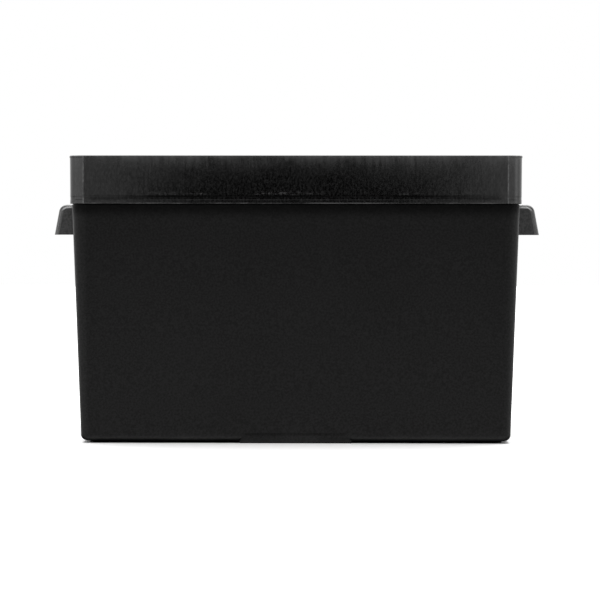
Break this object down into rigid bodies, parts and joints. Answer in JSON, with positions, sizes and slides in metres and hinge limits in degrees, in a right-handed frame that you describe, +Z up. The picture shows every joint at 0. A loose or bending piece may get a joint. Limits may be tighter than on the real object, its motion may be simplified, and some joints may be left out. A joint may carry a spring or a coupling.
{
  "type": "chip rack",
  "caption": "Lidded moulded box with two pocket grips that carries lift-out racks of casino chips, stacked in columns.",
  "frame": {"origin": "centre of the footprint, on the surface that the box stands on", "axes": "+X along the box's length towards one grip, +Y towards the back, +Z up"},
  "size_m": [0.4008, 0.2446, 0.2313],
  "materials": {
    "tub_black": "fine matte texture",
    "lid_black": "semi-gloss, lightly scuffed",
    "rack_clear": "clear moulded acrylic"
  },
  "bodies": {
    "tub": {"tub": "tub_black"},
    "lid": {"lid": "lid_black"},
    "chip_rack_a1": {"chip_rack_a1": "rack_clear"},
    "chip_rack_a2": {"chip_rack_a2": "rack_clear"},
    "chip_rack_a3": {"chip_rack_a3": "rack_clear"},
    "chip_rack_a4": {"chip_rack_a4": "rack_clear"},
    "chip_rack_a5": {"chip_rack_a5": "rack_clear"},
    "chip_rack_b1": {"chip_rack_b1": "rack_clear"},
    "chip_rack_b2": {"chip_rack_b2": "rack_clear"},
    "chip_rack_b3": {"chip_rack_b3": "rack_clear"},
    "chip_rack_b4": {"chip_rack_b4": "rack_clear"},
    "chip_rack_b5": {"chip_rack_b5": "rack_clear"},
    "chip_rack_c1": {"chip_rack_c1": "rack_clear"},
    "chip_rack_c2": {"chip_rack_c2": "rack_clear"},
    "chip_rack_c3": {"chip_rack_c3": "rack_clear"},
    "chip_rack_c4": {"chip_rack_c4": "rack_clear"},
    "chip_rack_c5": {"chip_rack_c5": "rack_clear"},
    "chip_rack_d1": {"chip_rack_d1": "rack_clear"},
    "chip_rack_d2": {"chip_rack_d2": "rack_clear"},
    "chip_rack_d3": {"chip_rack_d3": "rack_clear"},
    "chip_rack_d4": {"chip_rack_d4": "rack_clear"},
    "chip_rack_d5": {"chip_rack_d5": "rack_clear"}
  },
  "joints": [
    {"name": "lid_lift", "type": "slide", "parent": "tub", "child": "lid", "axis": [0, 0, 1], "range_m": [0, 0.38]},
    {"name": "rack_a1_lift", "type": "slide", "parent": "tub", "child": "chip_rack_a1", "axis": [0, 0, 1], "range_m": [0, 0.202]},
    {"name": "rack_a2_lift", "type": "slide", "parent": "tub", "child": "chip_rack_a2", "axis": [0, 0, 1], "range_m": [0, 0.232]},
    {"name": "rack_a3_lift", "type": "slide", "parent": "tub", "child": "chip_rack_a3", "axis": [0, 0, 1], "range_m": [0, 0.262]},
    {"name": "rack_a4_lift", "type": "slide", "parent": "tub", "child": "chip_rack_a4", "axis": [0, 0, 1], "range_m": [0, 0.292]},
    {"name": "rack_a5_lift", "type": "slide", "parent": "tub", "child": "chip_rack_a5", "axis": [0, 0, 1], "range_m": [0, 0.322]},
    {"name": "rack_b1_lift", "type": "slide", "parent": "tub", "child": "chip_rack_b1", "axis": [0, 0, 1], "range_m": [0, 0.202]},
    {"name": "rack_b2_lift", "type": "slide", "parent": "tub", "child": "chip_rack_b2", "axis": [0, 0, 1], "range_m": [0, 0.232]},
    {"name": "rack_b3_lift", "type": "slide", "parent": "tub", "child": "chip_rack_b3", "axis": [0, 0, 1], "range_m": [0, 0.262]},
    {"name": "rack_b4_lift", "type": "slide", "parent": "tub", "child": "chip_rack_b4", "axis": [0, 0, 1], "range_m": [0, 0.292]},
    {"name": "rack_b5_lift", "type": "slide", "parent": "tub", "child": "chip_rack_b5", "axis": [0, 0, 1], "range_m": [0, 0.322]},
    {"name": "rack_c1_lift", "type": "slide", "parent": "tub", "child": "chip_rack_c1", "axis": [0, 0, 1], "range_m": [0, 0.202]},
    {"name": "rack_c2_lift", "type": "slide", "parent": "tub", "child": "chip_rack_c2", "axis": [0, 0, 1], "range_m": [0, 0.232]},
    {"name": "rack_c3_lift", "type": "slide", "parent": "tub", "child": "chip_rack_c3", "axis": [0, 0, 1], "range_m": [0, 0.262]},
    {"name": "rack_c4_lift", "type": "slide", "parent": "tub", "child": "chip_rack_c4", "axis": [0, 0, 1], "range_m": [0, 0.292]},
    {"name": "rack_c5_lift", "type": "slide", "parent": "tub", "child": "chip_rack_c5", "axis": [0, 0, 1], "range_m": [0, 0.322]},
    {"name": "rack_d1_lift", "type": "slide", "parent": "tub", "child": "chip_rack_d1", "axis": [0, 0, 1], "range_m": [0, 0.202]},
    {"name": "rack_d2_lift", "type": "slide", "parent": "tub", "child": "chip_rack_d2", "axis": [0, 0, 1], "range_m": [0, 0.232]},
    {"name": "rack_d3_lift", "type": "slide", "parent": "tub", "child": "chip_rack_d3", "axis": [0, 0, 1], "range_m": [0, 0.262]},
    {"name": "rack_d4_lift", "type": "slide", "parent": "tub", "child": "chip_rack_d4", "axis": [0, 0, 1], "range_m": [0, 0.292]},
    {"name": "rack_d5_lift", "type": "slide", "parent": "tub", "child": "chip_rack_d5", "axis": [0, 0, 1], "range_m": [0, 0.322]}
  ],
  "couplings": [
    {"joint": "rack_a1_lift", "follows": "lid_lift", "ratio": 0.52632},
    {"joint": "rack_a2_lift", "follows": "lid_lift", "ratio": 0.60526},
    {"joint": "rack_a3_lift", "follows": "lid_lift", "ratio": 0.68421},
    {"joint": "rack_a4_lift", "follows": "lid_lift", "ratio": 0.76316},
    {"joint": "rack_a5_lift", "follows": "lid_lift", "ratio": 0.8421},
    {"joint": "rack_b1_lift", "follows": "lid_lift", "ratio": 0.52632},
    {"joint": "rack_b2_lift", "follows": "lid_lift", "ratio": 0.60526},
    {"joint": "rack_b3_lift", "follows": "lid_lift", "ratio": 0.68421},
    {"joint": "rack_b4_lift", "follows": "lid_lift", "ratio": 0.76316},
    {"joint": "rack_b5_lift", "follows": "lid_lift", "ratio": 0.8421},
    {"joint": "rack_c1_lift", "follows": "lid_lift", "ratio": 0.52632},
    {"joint": "rack_c2_lift", "follows": "lid_lift", "ratio": 0.60526},
    {"joint": "rack_c3_lift", "follows": "lid_lift", "ratio": 0.68421},
    {"joint": "rack_c4_lift", "follows": "lid_lift", "ratio": 0.76316},
    {"joint": "rack_c5_lift", "follows": "lid_lift", "ratio": 0.8421},
    {"joint": "rack_d1_lift", "follows": "lid_lift", "ratio": 0.52632},
    {"joint": "rack_d2_lift", "follows": "lid_lift", "ratio": 0.60526},
    {"joint": "rack_d3_lift", "follows": "lid_lift", "ratio": 0.68421},
    {"joint": "rack_d4_lift", "follows": "lid_lift", "ratio": 0.76316},
    {"joint": "rack_d5_lift", "follows": "lid_lift", "ratio": 0.8421}
  ]
}
